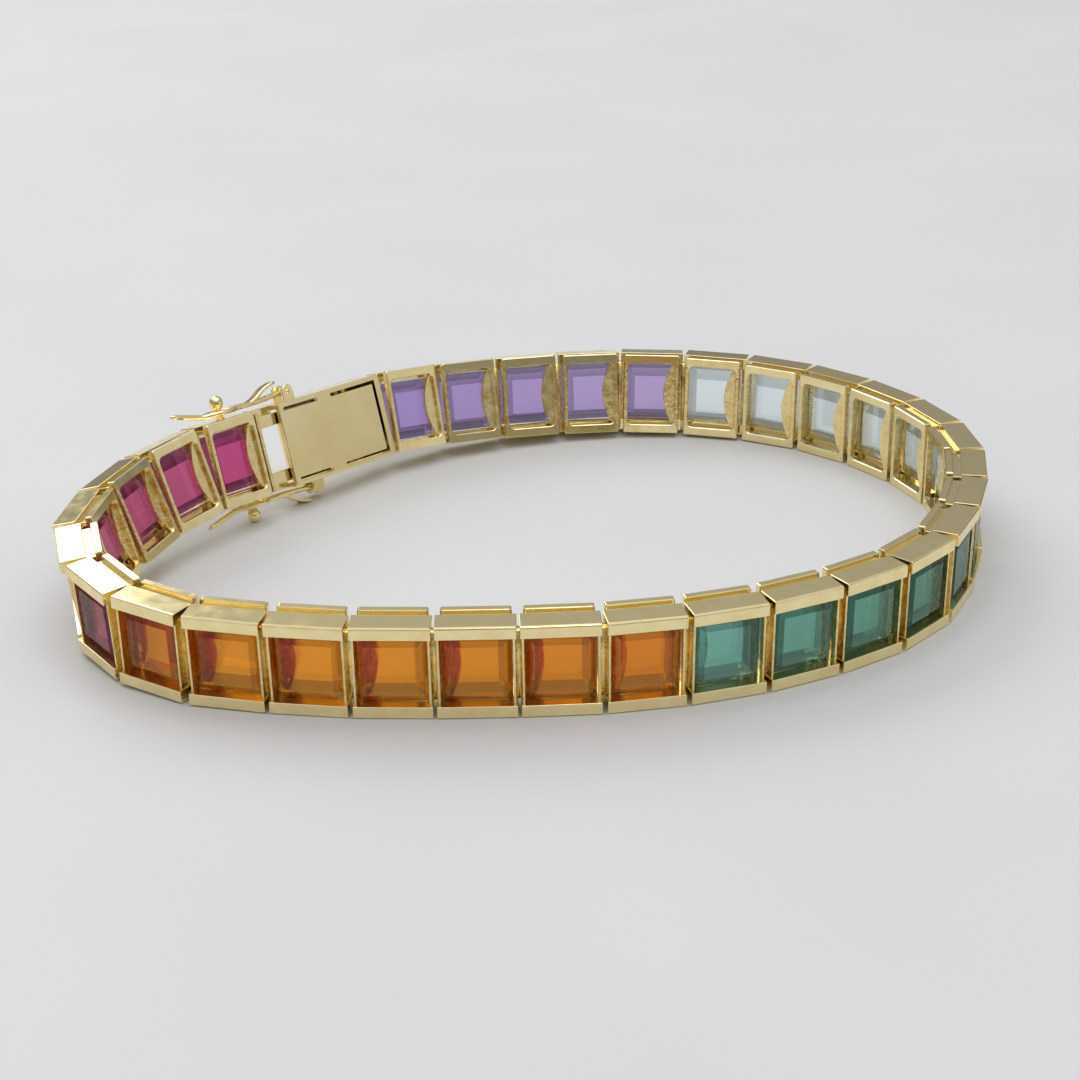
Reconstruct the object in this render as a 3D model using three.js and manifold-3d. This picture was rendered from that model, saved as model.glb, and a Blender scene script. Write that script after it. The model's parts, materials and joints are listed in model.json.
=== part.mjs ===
// Line bracelet of square step-cut stones in channel links, closed by a box clasp with two wire
// safety catches. Millimetres, +Z up. The bracelet stands on its edge in a closed loop.
//
// Every link is drawn in its own frame: u along the chain, d inwards from the outer face towards
// the wrist, h upwards from the bottom rail.

import * as THREE from 'three';
import { mergeVertices } from 'three/addons/utils/BufferGeometryUtils.js';
import Module from 'manifold-3d';

const wasm = await Module();
wasm.setup();

// Driving dimensions of a link
const linkPitch = 5.4;
const linkHeight = 6.65;
const linkDepth = 3.05;
const railHeight = 0.9;
const railDepth = 1.9;
const railGap = 0.16;
const railChamfer = 0.16;
const frameInset = 0.31;
const frameThickness = 0.55;
const frameBarHeight = 0.7;
const frameBarWidth = 0.34;
const webDrop = 0.35;
const webThickness = 0.3;
const endWallThickness = 0.16;
const endWallInset = 0.3;
const endWallSetback = 0.1;
const seat = 0.1;

// Hinge between two links
const hingeDepth = 1.45;
const knuckleRadius = 0.42;
const knuckleSides = 8;
const splitGap = 0.25;

// Lug of the hinge, a thin plate that bulges into the window of the inner frame
const lugReach = 0.95;
const lugBulge = 0.7;
const lugThickness = 0.28;
const lugHeightShare = 0.76;
const lugSteps = 6;

// Stones
const stoneClearance = 0.04;
const tableInset = 0.3;
const tableShare = 0.74;
const crownHeight = 0.5;
const crownStepRise = 0.45;
const crownStepShare = 0.87;
const girdleThickness = 0.14;
const pavilionDepth = 1.4;
const pavilionStepDepth = 0.45;
const pavilionStepShare = 0.84;
const backShare = 0.6;

// Box of the clasp
const claspLength = 13.3;
const boxLength = 10.8;
const boxJointGap = 0.42;
const boxWall = 0.4;
const boxNotch = 2.6;

// Slots round the plate on the box's inner face, with their spans as shares of the box's length
const slotWidth = 0.3;
const slotMargin = 0.33;
const slotDepth = 0.2;
const slotSpans = [{ near: 0.04, far: 0.37 }, { near: 0.5, far: 0.9 }];
const endSlotPlace = 0.94;
const endSlotMargin = 0.96;

// Arms of the box and tongue of the end link, on either side of the open gap
const armHeight = 0.8;
const armInset = 0.9;
const armGap = 0.3;
const tongueClearance = 0.18;
const prongHeight = 0.95;
const prongThickness = 0.4;
const tongueLength = 5.5;
const springLength = 4.0;
const springDepth = 1.0;
const endPlateThickness = 0.3;
const endLinkGap = 0.5;

// Safety catches
const catchDepth = 1.15;
const pinSides = 8;
const barrelSides = 10;
const ballRadius = 0.55;
const ballSides = { round: 10, high: 6 };
const ballOffset = -0.5;
const lowerCatchShift = -0.9;
const stemRadius = 0.26;
const stemHeight = 0.8;
const stemSink = 0.3;
const wireRadius = 0.19;
const wireSides = 6;
const wireSteps = 16;
const wireRise = 0.5;
const loopClearance = 0.17;
const loopHalfLength = 1.15;
const tailLength = 3.3;
const tailRise = 0.7;
const hingeReach = 6.5;
const hingeRise = 0.65;
const barrelRadius = 0.34;
const barrelLength = 0.6;
const pinRadius = 0.17;
const pinClearance = 0.1;
const earThickness = 0.3;
const earRadius = 0.56;
const earClearance = 0.12;
const leafFoot = 2.8;
const leafWidth = 0.9;
const leafThickness = 0.26;
const leafRun = 2.9;
const leafRise = 1.1;

// How far a wire's middle runs off the catch's middle, as shares of the wire's radius, and of the
// ball's room where the wires pass round it
const wireOff = { hinge: 0.5, midway: 1.3, neck: 2.4, tail: 0.3, tip: 0.2 };
const loopOff = { near: 0.85, far: 0.75 };
const loopPlace = { near: 0.2, far: 0.7 };

// Where the tail and the leaf bend, as shares of their length and rise
const tailBend = { place: 0.4, rise: 0.3 };
const leafBend = { place: 0.5, rise: 0.6 };

// Colours and stones, in order from the clasp's tongue round the front to its box
const stoneRuns = [
  { name: 'pink', count: 6, color: 0xb8406f },
  { name: 'orange', count: 7, color: 0xe07a12 },
  { name: 'green', count: 6, color: 0x2f6f62 },
  { name: 'white', count: 7, color: 0xdfe8ea },
  { name: 'violet', count: 5, color: 0xa58ac8 },
];
const linkCount = stoneRuns.reduce((sum, run) => sum + run.count, 0);
const splitLink = 16;

// Route of the loop, seen from above: chosen points in mm. Each has how far the links stand off
// the floor there, as a share of what the lower catch's ball needs, and how far their tops lean
// outwards, in degrees. The first point is the end link, and the route runs on towards the front.
const route = [
  { x: -23.9, y: 4.3, lift: 1.18, lean: 18.5 },
  { x: -29.9, y: -4.4, lift: 0.82, lean: 18.0 },
  { x: -31.5, y: -14.5, lift: 0.37, lean: 7.5 },
  { x: -25.5, y: -22.9, lift: 0.09, lean: 2.5 },
  { x: -14.9, y: -26.0, lift: 0.0, lean: 3.0 },
  { x: -4.2, y: -26.6, lift: 0.0, lean: 1.5 },
  { x: 6.6, y: -26.0, lift: 0.0, lean: 2.0 },
  { x: 16.9, y: -22.7, lift: 0.0, lean: 1.5 },
  { x: 25.7, y: -16.3, lift: 0.0, lean: 1.0 },
  { x: 30.2, y: -6.8, lift: 0.0, lean: 1.0 },
  { x: 31.4, y: 3.5, lift: 0.0, lean: 0.0 },
  { x: 27.5, y: 12.7, lift: 0.0, lean: 0.5 },
  { x: 19.9, y: 19.7, lift: 0.0, lean: 1.5 },
  { x: 9.7, y: 22.5, lift: 0.0, lean: 9.0 },
  { x: -0.7, y: 21.4, lift: 0.11, lean: 14.5 },
  { x: -10.7, y: 17.4, lift: 0.4, lean: 21.0 },
  { x: -17.4, y: 11.1, lift: 1.0, lean: 18.5 },
];

// Sizes worked out from the driving dimensions
const ballRise = Math.sqrt(ballRadius ** 2 - stemRadius ** 2);
const ballLean = THREE.MathUtils.degToRad(route[0].lean);
const ballReach = (stemHeight + ballRise) * Math.cos(ballLean) + ballRadius;
const ballLift = ballReach - catchDepth * Math.sin(ballLean);
const railLength = linkPitch - railGap;
const halfRail = railLength / 2;
const halfFrame = halfRail - frameInset;
const barLength = claspLength + linkPitch;
const openHeight = linkHeight - 2 * railHeight;
const jointCount = linkCount;

// The tongue lies against the box's inner wall, and the box's arms end just in front of it
const prongStart = linkDepth - boxWall - tongueClearance - prongThickness;

// Search for places along the route: reach of one step, turns of a halving, limits of the scale
const stepReach = 0.3;
const halvings = 40;
const scaleLimits = { small: 0.5, large: 2.5 };

// Solids: a closed three.js mesh becomes a solid that can be joined and cut
const weldDistance = 1e-4;

function solid(geometry) {
  const bare = geometry.clone();
  bare.deleteAttribute('normal');
  bare.deleteAttribute('uv');
  const merged = mergeVertices(bare, weldDistance);
  return new wasm.Manifold(new wasm.Mesh({
    numProp: 3,
    vertProperties: Float32Array.from(merged.attributes.position.array),
    triVerts: Uint32Array.from(merged.index.array),
  }));
}

function geometryOf(body) {
  const mesh = body.getMesh();
  const geometry = new THREE.BufferGeometry();
  geometry.setAttribute('position', new THREE.BufferAttribute(mesh.vertProperties, 3));
  geometry.setIndex(new THREE.BufferAttribute(mesh.triVerts, 1));
  geometry.computeVertexNormals();
  return geometry;
}

function join(solids) {
  return solids.reduce((whole, piece) => whole.add(piece));
}

// A box from its limits along u, d and h
function block([u0, u1], [d0, d1], [h0, h1]) {
  const geometry = new THREE.BoxGeometry(u1 - u0, d1 - d0, h1 - h0);
  geometry.translate((u0 + u1) / 2, (d0 + d1) / 2, (h0 + h1) / 2);
  return solid(geometry);
}

// A bar along u with a section drawn in d and h
function barAlong(section, [u0, u1]) {
  const shape = new THREE.Shape(section.map(([d, h]) => new THREE.Vector2(d, h)));
  const geometry = new THREE.ExtrudeGeometry(shape, { depth: u1 - u0, bevelEnabled: false });
  const turn = new THREE.Matrix4().makeBasis(
    new THREE.Vector3(0, 1, 0), new THREE.Vector3(0, 0, 1), new THREE.Vector3(1, 0, 0));
  geometry.applyMatrix4(turn);
  geometry.translate(u0, 0, 0);
  return solid(geometry);
}

// A round post along h, and a round pin along d
function postAlongHeight(u, d, radius, [h0, h1], sides) {
  const geometry = new THREE.CylinderGeometry(radius, radius, h1 - h0, sides);
  geometry.rotateX(Math.PI / 2);
  geometry.translate(u, d, (h0 + h1) / 2);
  return solid(geometry);
}

function pinAlongDepth(u, h, radius, [d0, d1], sides) {
  const geometry = new THREE.CylinderGeometry(radius, radius, d1 - d0, sides);
  geometry.translate(u, (d0 + d1) / 2, h);
  return solid(geometry);
}

// Route: the hinge points of the chain
function routeCurve(scale) {
  const points = route.map(({ x, y, lift, lean }) => {
    const angle = THREE.MathUtils.degToRad(lean);
    const height = lift * ballLift + (linkHeight / 2) * Math.cos(angle) + hingeDepth * Math.sin(angle);
    return new THREE.Vector3(x * scale, y * scale, height);
  });
  return new THREE.CatmullRomCurve3(points, true, 'catmullrom', 0.5);
}

const leanCurve = new THREE.CatmullRomCurve3(
  route.map(({ lean }) => new THREE.Vector3(lean, 0, 0)), true, 'catmullrom', 0.5);

function wrap(position) {
  return position - Math.floor(position);
}

// The position on the curve that lies a straight distance on from another one
function stepAlong(curve, from, distance) {
  const start = curve.getPoint(wrap(from));
  let near = from;
  let far = from + stepReach;
  for (let turn = 0; turn < halvings; turn += 1) {
    const middle = (near + far) / 2;
    if (curve.getPoint(wrap(middle)).distanceTo(start) < distance) near = middle;
    else far = middle;
  }
  return near;
}

// Hinge positions for one size of the loop: the first is where the end link meets the chain
function hingePositions(curve) {
  const positions = [stepAlong(curve, 0, linkPitch / 2)];
  for (let count = 1; count < jointCount; count += 1) {
    positions.push(stepAlong(curve, positions[count - 1], linkPitch));
  }
  return positions;
}

// The loop's size at which the straight bar of clasp and end link just closes it
function closingScale() {
  let { small, large } = scaleLimits;
  for (let turn = 0; turn < halvings; turn += 1) {
    const middle = (small + large) / 2;
    const curve = routeCurve(middle);
    const positions = hingePositions(curve);
    const first = positions[0] + 1;
    const last = positions[positions.length - 1];
    const spare = curve.getPoint(wrap(first)).distanceTo(curve.getPoint(wrap(last)));
    if (last < first && spare > barLength) large = middle;
    else small = middle;
  }
  return (small + large) / 2;
}

const loop = routeCurve(closingScale());
const hinges = hingePositions(loop);

// The frame of a piece between two hinge positions: its origin is the outer bottom edge's middle
function poseBetween(from, to) {
  const start = loop.getPoint(wrap(from));
  const end = loop.getPoint(wrap(to));
  const along = end.clone().sub(start).normalize();
  const level = new THREE.Vector3(0, 0, 1).cross(along).normalize();
  const upright = along.clone().cross(level);
  const angle = THREE.MathUtils.degToRad(leanCurve.getPoint(wrap((from + to) / 2)).x);
  const inward = level.clone().multiplyScalar(Math.cos(angle)).addScaledVector(upright, Math.sin(angle));
  const up = upright.clone().multiplyScalar(Math.cos(angle)).addScaledVector(level, -Math.sin(angle));
  const origin = start.add(end).multiplyScalar(0.5);
  origin.addScaledVector(inward, -hingeDepth).addScaledVector(up, -linkHeight / 2);
  return new THREE.Matrix4().makeBasis(along, inward, up).setPosition(origin);
}

function placed(body, pose) {
  return body.transform(pose.elements);
}

// A link: two outer rails, the inner frame, webs between them, the lug and the walls at its ends
function rails([u0, u1]) {
  const c = railChamfer;
  const lower = [[0, c], [c, 0], [railDepth, 0], [railDepth, railHeight], [0, railHeight]];
  const upper = lower.map(([d, h]) => [d, linkHeight - h]).reverse();
  return [barAlong(lower, [u0, u1]), barAlong(upper, [u0, u1])];
}

function innerFrame() {
  const shape = new THREE.Shape([
    new THREE.Vector2(-halfFrame, 0), new THREE.Vector2(halfFrame, 0),
    new THREE.Vector2(halfFrame, linkHeight), new THREE.Vector2(-halfFrame, linkHeight)]);
  const left = -halfFrame + frameBarWidth;
  const right = halfFrame - frameBarWidth;
  const low = frameBarHeight;
  const high = linkHeight - frameBarHeight;
  shape.holes.push(new THREE.Path([
    new THREE.Vector2(left, low), new THREE.Vector2(left, high),
    new THREE.Vector2(right, high), new THREE.Vector2(right, low)]));
  const geometry = new THREE.ExtrudeGeometry(shape, { depth: frameThickness, bevelEnabled: false });
  geometry.rotateX(Math.PI / 2);
  geometry.translate(0, linkDepth, 0);
  return solid(geometry);
}

// The webs that join the inner frame to the rails, at the floor of the groove between them
function webs() {
  const u = [seat - halfFrame, halfFrame - seat];
  const d = [railDepth - seat, linkDepth - frameThickness + seat];
  const top = linkHeight - webDrop;
  return [block(u, d, [webDrop, webDrop + webThickness]), block(u, d, [top - webThickness, top])];
}

// The hinge's lug: straight at the frame's side bar, bulging into the window
function lug() {
  const middle = linkHeight / 2;
  const reach = (lugHeightShare * linkHeight) / 2;
  const side = frameBarWidth / 2 - halfFrame;
  const points = [new THREE.Vector2(side, middle + reach), new THREE.Vector2(side, middle - reach)];
  for (let step = 0; step <= lugSteps; step += 1) {
    const share = (2 * step) / lugSteps - 1;
    const bulge = lugReach - lugBulge * share * share;
    points.push(new THREE.Vector2(frameBarWidth - halfFrame + bulge, middle + share * reach));
  }
  const geometry = new THREE.ExtrudeGeometry(
    new THREE.Shape(points), { depth: lugThickness, bevelEnabled: false });
  geometry.rotateX(Math.PI / 2);
  geometry.translate(0, linkDepth - frameThickness + lugThickness, 0);
  return solid(geometry);
}

function endWall(side) {
  const far = halfRail - endWallSetback;
  const near = far - endWallThickness;
  const u = side > 0 ? [near, far] : [-far, -near];
  const h = [railHeight - seat, linkHeight - railHeight + seat];
  return block(u, [endWallInset, railDepth - seat], h);
}

function linkBody() {
  return join([...rails([-halfRail, halfRail]), innerFrame(), ...webs(), lug(), endWall(-1), endWall(1)]);
}

// The knuckle that carries two links, upright on the hinge between them
function knuckle(side, radius, reach) {
  const h = [railHeight - reach, linkHeight - railHeight + reach];
  return postAlongHeight((side * linkPitch) / 2, hingeDepth, radius, h, knuckleSides);
}

const knuckleReach = 0.2;

// A run of links joined by their knuckles. A link at a cut end makes room for its neighbour's.
function chainRun(first, last, { ownStart, ownEnd }) {
  const link = linkBody();
  let whole = null;
  for (let index = first; index <= last; index += 1) {
    let body = link;
    if (index === first && ownStart) body = body.add(knuckle(-1, knuckleRadius, knuckleReach));
    if (index === first && !ownStart) {
      body = body.subtract(knuckle(-1, knuckleRadius + splitGap, knuckleReach + splitGap));
    }
    if (index < last || ownEnd) body = body.add(knuckle(1, knuckleRadius, knuckleReach));
    const turned = placed(body, poseBetween(hinges[index - 1], hinges[index]));
    whole = whole === null ? turned : whole.add(turned);
  }
  return whole;
}

// A square stone: table, crown steps, girdle, pavilion steps and a large flat back
const stoneWidth = railLength - 2 * (endWallSetback + endWallThickness + stoneClearance);
const stoneHeight = openHeight - 2 * stoneClearance;
const girdleEnd = crownHeight + girdleThickness;
const stoneSteps = [
  { depth: 0, share: tableShare },
  { depth: crownStepRise * crownHeight, share: crownStepShare },
  { depth: crownHeight, share: 1 },
  { depth: girdleEnd, share: 1 },
  { depth: girdleEnd + pavilionStepDepth * pavilionDepth, share: pavilionStepShare },
  { depth: girdleEnd + pavilionDepth, share: backShare },
];

// A closed shell through sections of equal corner count, capped by fans at both ends
function shellThrough(sections) {
  const corners = sections[0].length;
  const positions = sections.flat().flatMap((point) => point.toArray());
  const triangles = [];
  for (let row = 0; row + 1 < sections.length; row += 1) {
    for (let corner = 0; corner < corners; corner += 1) {
      const a = row * corners + corner;
      const b = row * corners + ((corner + 1) % corners);
      triangles.push(a, b, a + corners, b, b + corners, a + corners);
    }
  }
  const last = (sections.length - 1) * corners;
  for (let corner = 1; corner + 1 < corners; corner += 1) {
    triangles.push(0, corner + 1, corner);
    triangles.push(last, last + corner, last + corner + 1);
  }
  const geometry = new THREE.BufferGeometry();
  geometry.setAttribute('position', new THREE.Float32BufferAttribute(positions, 3));
  geometry.setIndex(triangles);
  return geometry;
}

function stoneGeometry() {
  const sections = stoneSteps.map(({ depth, share }) => {
    const u = (share * stoneWidth) / 2;
    const h = (share * stoneHeight) / 2;
    const d = tableInset + depth;
    const middle = linkHeight / 2;
    return [
      new THREE.Vector3(-u, d, middle - h), new THREE.Vector3(-u, d, middle + h),
      new THREE.Vector3(u, d, middle + h), new THREE.Vector3(u, d, middle - h)];
  });
  const geometry = shellThrough(sections);
  geometry.computeVertexNormals();
  return geometry;
}

// The straight bar of clasp and end link: places along it
const barStart = -barLength / 2;
const endLinkMiddle = barLength / 2 - linkPitch / 2;
const endLinkStart = endLinkMiddle - halfRail;
const boxStart = barStart + boxJointGap;
const boxMouth = boxStart + boxLength;
const armEnd = endLinkStart - armGap;
const ballPlace = endLinkMiddle + ballOffset;
const catchHinge = ballPlace - hingeReach;

function moved(body, u) {
  return body.translate([u, 0, 0]);
}

// The room that a neighbour's knuckle needs at either end of the bar
function hingeRoom(u) {
  const h = [railHeight - knuckleReach - splitGap, linkHeight - railHeight + knuckleReach + splitGap];
  return postAlongHeight(u, hingeDepth, knuckleRadius + splitGap, h, knuckleSides);
}

// The same part at the other edge, where the lower catch sits a little nearer the box
function atLowerEdge(body) {
  return body.mirror([0, 0, 1]).translate([lowerCatchShift, 0, linkHeight]);
}

// The end link: a link with a thick end plate, the tongue and a ball on a stem at each edge

function ballOnStem() {
  const stem = postAlongHeight(ballPlace, catchDepth, stemRadius,
    [linkHeight - stemSink, linkHeight + stemHeight + ballRadius], pinSides);
  const ball = new THREE.SphereGeometry(ballRadius, ballSides.round, ballSides.high);
  ball.rotateX(Math.PI / 2);
  ball.translate(ballPlace, catchDepth, linkHeight + stemHeight + ballRise);
  return stem.add(solid(ball));
}

function tongue() {
  const d = [prongStart, prongStart + prongThickness];
  const low = boxWall + tongueClearance;
  const high = linkHeight - low;
  const reach = boxMouth - tongueLength;
  const plateEnd = boxMouth - tongueClearance;
  const pieces = [];
  for (const h of [[low, low + prongHeight], [high - prongHeight, high]]) {
    pieces.push(block([plateEnd - seat, endLinkStart + seat], d, h));
  }
  const spring = [springDepth, springDepth + prongThickness];
  pieces.push(block([reach, plateEnd], d, [low, high]));
  pieces.push(block([reach, reach + prongThickness], [springDepth, d[1]], [low, high]));
  pieces.push(block([reach, reach + springLength], spring, [low, high]));
  return pieces;
}

function endLink() {
  const body = moved(linkBody(), endLinkMiddle);
  const plate = block([endLinkStart - seat, endLinkStart - seat + endPlateThickness],
    [endWallInset, linkDepth - seat], [railChamfer, linkHeight - railChamfer]);
  const ball = ballOnStem();
  const whole = join([body, plate, ...tongue(), ball, atLowerEdge(ball)]);
  const beyond = block([-barStart - endLinkGap, seat - barStart], [-seat, linkDepth + seat],
    [-seat, linkHeight + seat]);
  return whole.subtract(hingeRoom(-barStart)).subtract(beyond);
}

// Room round the end link's stone, which the next link bends close to
function endStoneRoom() {
  const reach = stoneWidth / 2 + stoneClearance;
  const depth = [tableInset, tableInset + girdleEnd + pavilionDepth];
  const height = [railHeight, linkHeight - railHeight];
  return block([endLinkMiddle - reach, endLinkMiddle + reach], depth, height);
}

// The clasp's box: a hollow box open towards the tongue, with a notch in its outer wall, two arms
// past its mouth, the ears of the catches, and slots round the plate on its inner face
function ears() {
  const half = barrelLength / 2 + earClearance;
  const top = linkHeight + hingeRise;
  const near = [catchDepth - half - earThickness, catchDepth - half];
  const far = [catchDepth + half, catchDepth + half + earThickness];
  return [near, far].map((d) => {
    const round = pinAlongDepth(catchHinge, top, earRadius, d, barrelSides);
    const foot = block([catchHinge - earRadius, catchHinge + earRadius], d, [linkHeight - seat, top]);
    const bore = [d[0] - seat, d[1] + seat];
    const hole = pinAlongDepth(catchHinge, top, pinRadius + pinClearance, bore, pinSides);
    return round.add(foot).subtract(hole);
  });
}

function plateSlots() {
  const d = [linkDepth - slotDepth, linkDepth + seat];
  const pieces = [];
  for (const { near, far } of slotSpans) {
    const u = [boxMouth - far * boxLength, boxMouth - near * boxLength];
    pieces.push(block(u, d, [slotMargin, slotMargin + slotWidth]));
    pieces.push(block(u, d, [linkHeight - slotMargin - slotWidth, linkHeight - slotMargin]));
  }
  const end = boxMouth - endSlotPlace * boxLength;
  pieces.push(block([end, end + slotWidth], d, [endSlotMargin, linkHeight - endSlotMargin]));
  return pieces;
}

function claspBox() {
  const c = railChamfer;
  const section = [
    [0, c], [c, 0], [linkDepth - c, 0], [linkDepth, c],
    [linkDepth, linkHeight - c], [linkDepth - c, linkHeight], [c, linkHeight], [0, linkHeight - c]];
  const outside = barAlong(section, [boxStart, boxMouth]);
  const hollow = block([boxStart + boxWall, boxMouth + seat], [boxWall, linkDepth - boxWall],
    [boxWall, linkHeight - boxWall]);
  const notch = block([boxMouth - boxNotch, boxMouth + seat], [-seat, boxWall + seat],
    [boxWall, linkHeight - boxWall]);
  const cuts = join([hollow, notch, ...plateSlots()]);
  const shell = outside.subtract(cuts).subtract(hingeRoom(barStart));
  const armDepth = [armInset, prongStart - tongueClearance];
  const arm = block([boxMouth - seat, armEnd], armDepth, [linkHeight - armHeight, linkHeight]);
  const lowerArm = block([boxMouth - seat, armEnd], armDepth, [0, armHeight]);
  const upperEars = join(ears());
  return join([shell, arm, lowerArm, upperEars, atLowerEdge(upperEars)]);
}

// A safety catch: barrel and pin, two wires round the ball's stem, a tail and a raised leaf
function wireAlong(points) {
  const path = new THREE.CatmullRomCurve3(points.map(([u, d, h]) => new THREE.Vector3(u, d, h)));
  const section = new THREE.Shape();
  for (let side = 0; side < wireSides; side += 1) {
    const angle = (2 * Math.PI * side) / wireSides;
    const x = wireRadius * Math.cos(angle);
    const y = wireRadius * Math.sin(angle);
    if (side === 0) section.moveTo(x, y);
    else section.lineTo(x, y);
  }
  section.closePath();
  const settings = { steps: wireSteps, bevelEnabled: false, extrudePath: path };
  return solid(new THREE.ExtrudeGeometry(section, settings));
}

// Places along one wire: from the barrel, out round the ball's stem, and on to the tail
function wirePlaces(side) {
  const level = linkHeight + wireRise;
  const hinge = linkHeight + hingeRise;
  const wide = ballRadius + wireRadius + loopClearance;
  const loopEnd = ballPlace + loopHalfLength;
  const loopStart = ballPlace - loopHalfLength;
  const bend = loopEnd + tailBend.place * tailLength;
  const at = (u, spread, h) => [u, catchDepth + side * spread, h];
  return [
    at(catchHinge, wireOff.hinge * wireRadius, hinge),
    at((catchHinge + loopStart) / 2, wireOff.midway * wireRadius, level),
    at(loopStart - wireRadius, wireOff.neck * wireRadius, level),
    at(loopStart + loopPlace.near * loopHalfLength, loopOff.near * wide, level),
    at(ballPlace, wide, level),
    at(ballPlace + loopPlace.far * loopHalfLength, loopOff.far * wide, level),
    at(loopEnd + 2 * wireRadius, wireRadius, level),
    at(bend, wireOff.tail * wireRadius, level + tailBend.rise * tailRise),
    at(loopEnd + tailLength, wireOff.tip * wireRadius, level + tailRise),
  ];
}

// The raised leaf, drawn in u and h from its foot on the wires to its free end
function leafPlate() {
  const foot = ballPlace - leafFoot;
  const low = linkHeight + wireRise;
  const half = leafThickness / 2;
  const bend = foot - leafBend.place * leafRun;
  const bendHeight = low + leafBend.rise * leafRise;
  const shape = new THREE.Shape([
    new THREE.Vector2(foot, low - half), new THREE.Vector2(foot, low + half),
    new THREE.Vector2(bend, bendHeight + half),
    new THREE.Vector2(foot - leafRun, low + leafRise + half),
    new THREE.Vector2(foot - leafRun, low + leafRise - half),
    new THREE.Vector2(bend, bendHeight - half)]);
  const plate = new THREE.ExtrudeGeometry(shape, { depth: leafWidth, bevelEnabled: false });
  plate.rotateX(Math.PI / 2);
  plate.translate(0, catchDepth + leafWidth / 2, 0);
  return solid(plate);
}

function safetyCatch() {
  const hinge = linkHeight + hingeRise;
  const half = barrelLength / 2;
  const pin = half + earClearance + earThickness;
  return join([
    wireAlong(wirePlaces(-1)),
    wireAlong(wirePlaces(1)),
    pinAlongDepth(catchHinge, hinge, barrelRadius, [catchDepth - half, catchDepth + half], barrelSides),
    pinAlongDepth(catchHinge, hinge, pinRadius, [catchDepth - pin, catchDepth + pin], pinSides),
    leafPlate(),
  ]);
}

// Materials
const gold = new THREE.MeshStandardMaterial({ color: 0xd9b45c, roughness: 0.22, metalness: 1.0 });

function stoneMaterial(color) {
  return new THREE.MeshStandardMaterial({ color, roughness: 0.05, metalness: 0.0 });
}

// The bracelet
const bracelet = new THREE.Group();

function addMetal(name, body) {
  const mesh = new THREE.Mesh(geometryOf(body), gold);
  mesh.name = name;
  bracelet.add(mesh);
}

const barPose = poseBetween(hinges[hinges.length - 1], hinges[0] + 1);
const frontRun = chainRun(1, splitLink - 1, { ownStart: true, ownEnd: true });
addMetal('chain_front', frontRun.subtract(placed(endStoneRoom(), barPose)));
addMetal('chain_back', chainRun(splitLink, linkCount - 1, { ownStart: false, ownEnd: true }));
addMetal('end_link', placed(endLink(), barPose));
addMetal('clasp_box', placed(claspBox(), barPose));
addMetal('safety_catch_top', placed(safetyCatch(), barPose));
addMetal('safety_catch_bottom', placed(atLowerEdge(safetyCatch()), barPose));

const stoneShape = stoneGeometry();
let place = 0;
for (const run of stoneRuns) {
  const material = stoneMaterial(run.color);
  for (let count = 1; count <= run.count; count += 1) {
    const stone = new THREE.Mesh(stoneShape, material);
    stone.name = `stone_${run.name}_${count}`;
    const holder = new THREE.Group();
    const pose = place === 0 ? barPose : poseBetween(hinges[place - 1], hinges[place]);
    pose.decompose(holder.position, holder.quaternion, holder.scale);
    if (place === 0) stone.position.x = endLinkMiddle;
    holder.add(stone);
    bracelet.add(holder);
    place += 1;
  }
}

// Origin: the middle of the bracelet's box, on the floor that it stands on
bracelet.updateMatrixWorld(true);
const bounds = new THREE.Box3().setFromObject(bracelet, true);
bracelet.position.set(
  -(bounds.min.x + bounds.max.x) / 2, -(bounds.min.y + bounds.max.y) / 2, -bounds.min.z);

export default bracelet;
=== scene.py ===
# Looks of a line bracelet: 31 square step-cut stones in gold channel links, closed in an oval
# loop by a box clasp with two wire safety catches. Metres, +Z up.
#
# Every link is drawn in its own frame: u along the chain, d inwards from the outer face towards
# the wrist, h upwards from the lower rail. The frames are taken from the model's stones.

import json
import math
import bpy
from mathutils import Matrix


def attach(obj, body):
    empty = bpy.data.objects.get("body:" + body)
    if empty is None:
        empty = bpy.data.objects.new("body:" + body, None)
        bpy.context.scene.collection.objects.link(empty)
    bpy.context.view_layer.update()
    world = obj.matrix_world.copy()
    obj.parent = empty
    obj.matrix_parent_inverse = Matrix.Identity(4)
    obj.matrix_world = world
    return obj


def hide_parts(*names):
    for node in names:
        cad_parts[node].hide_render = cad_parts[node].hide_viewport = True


bl_info = {
    "name": "Line Bracelet",
    "version": (1, 0, 0),
    "blender": (4, 5, 0),
    "location": "View3D > Sidebar > Bracelet",
    "description": "Builds the links, stones, clasp and catches of a line bracelet",
    "category": "Object",
}

import bmesh
import bpy
from bpy.props import FloatProperty, FloatVectorProperty, IntProperty, PointerProperty
from mathutils import Matrix, Vector

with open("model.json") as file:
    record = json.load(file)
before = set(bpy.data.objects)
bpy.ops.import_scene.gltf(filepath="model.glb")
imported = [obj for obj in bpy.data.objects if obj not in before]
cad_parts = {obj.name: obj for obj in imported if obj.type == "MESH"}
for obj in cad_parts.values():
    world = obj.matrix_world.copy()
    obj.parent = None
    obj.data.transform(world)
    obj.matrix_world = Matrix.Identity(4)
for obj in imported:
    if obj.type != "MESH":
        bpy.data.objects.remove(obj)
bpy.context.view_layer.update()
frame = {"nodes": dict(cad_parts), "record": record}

MM = 0.001
BODY = "root"

# Finishes of the metal, as numbered on the faces of a mesh
POLISHED, SATIN, CAST = 0, 1, 2

# First link of the model's chain_back, counted from the end link as 0
FIRST_BACK_LINK = 16

# Nearly all values of a noise lie between these two
NOISE_LOW, NOISE_HIGH = 0.3, 0.7

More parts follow.
